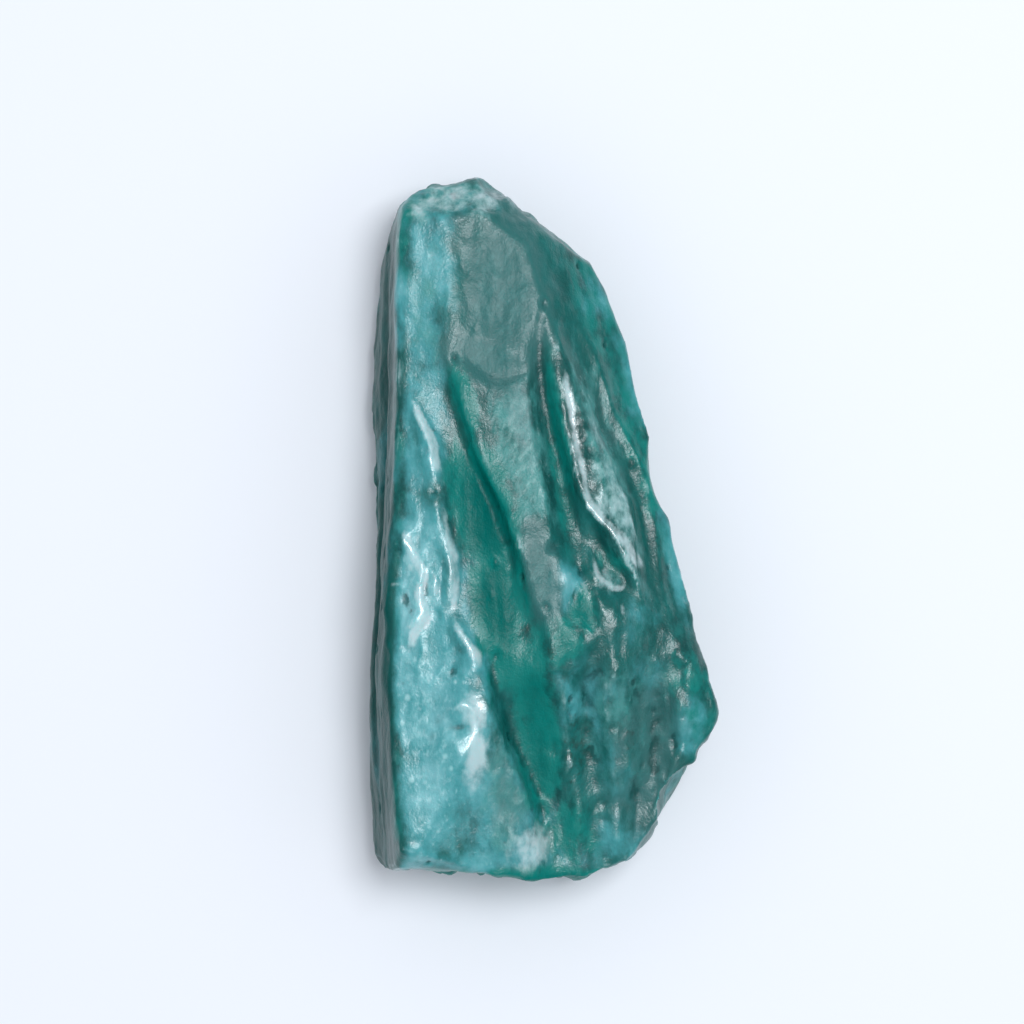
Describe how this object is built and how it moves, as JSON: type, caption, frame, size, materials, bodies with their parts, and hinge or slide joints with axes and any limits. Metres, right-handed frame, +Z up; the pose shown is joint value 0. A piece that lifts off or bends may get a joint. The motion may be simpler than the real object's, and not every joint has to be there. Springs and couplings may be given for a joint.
{
  "type": "rough emerald",
  "caption": "Rough bluish-green emerald: a broken length of beryl prism with etched grooves along its front, lying on its flat back.",
  "frame": {"origin": "centre of the bounding box at its base, where the stone lies on its flat back", "axes": "+Y along the stone towards its narrow end, +Z up out of the grooved front, +X towards its slanted side"},
  "size_m": [0.0228, 0.0462, 0.0142],
  "materials": {
    "emerald": "etched glassy faces with a slightly wet gloss, translucent and full of inclusions"
  },
  "bodies": {
    "root": {"rough_emerald": "emerald"}
  },
  "joints": []
}
